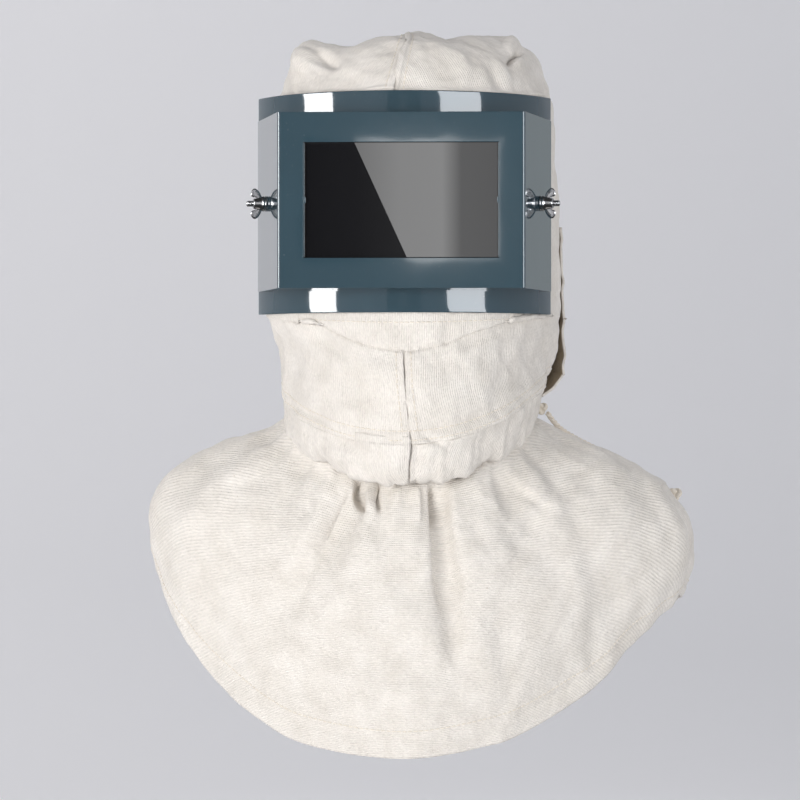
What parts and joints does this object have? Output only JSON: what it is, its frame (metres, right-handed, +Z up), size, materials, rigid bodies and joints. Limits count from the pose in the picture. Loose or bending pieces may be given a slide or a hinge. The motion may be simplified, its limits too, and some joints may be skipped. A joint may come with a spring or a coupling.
{
  "type": "sandblasting hood",
  "caption": "Canvas blasting hood with a shoulder cape, a curved plastic visor and a clamped window cover.",
  "frame": {"origin": "the middle of the crown's inner face, where the hood rests on a head", "axes": "+X to the right as seen from in front, -Y the way the visor faces, +Z up through the crown"},
  "size_m": [0.4381, 0.2906, 0.562],
  "materials": {
    "canvas": "unbleached heavy cotton canvas, matt",
    "visor_plastic": "glossy dark blue-green moulded plastic",
    "dark_glass": "dark filter glass, polished",
    "steel": "bright zinc-plated steel",
    "cotton_cord": "twisted cotton cord, matt"
  },
  "bodies": {
    "hood": {"hood_left": "canvas", "hood_right": "canvas", "casing_left": "canvas", "casing_right": "canvas", "chin_gusset": "canvas", "cape": "canvas", "back_flap": "canvas", "visor_frame": "visor_plastic", "window_cover": "visor_plastic", "window_glass": "dark_glass", "side_bolt_left": "steel", "side_bolt_right": "steel", "washer_left": "steel", "washer_right": "steel", "tie_knot": "cotton_cord", "tie_cord": "cotton_cord", "tie_end_knot": "cotton_cord"},
    "wing_nut_left": {"wing_nut_left": "steel"},
    "wing_nut_right": {"wing_nut_right": "steel"}
  },
  "joints": [
    {"name": "left_nut_turn", "type": "hinge", "parent": "hood", "child": "wing_nut_left", "pos_m": [-0.10613, -0.09213, -0.131], "axis": [-0.9727, -0.232, 0], "continuous": true},
    {"name": "right_nut_turn", "type": "hinge", "parent": "hood", "child": "wing_nut_right", "pos_m": [0.10613, -0.09213, -0.131], "axis": [0.9727, -0.232, 0], "continuous": true}
  ]
}
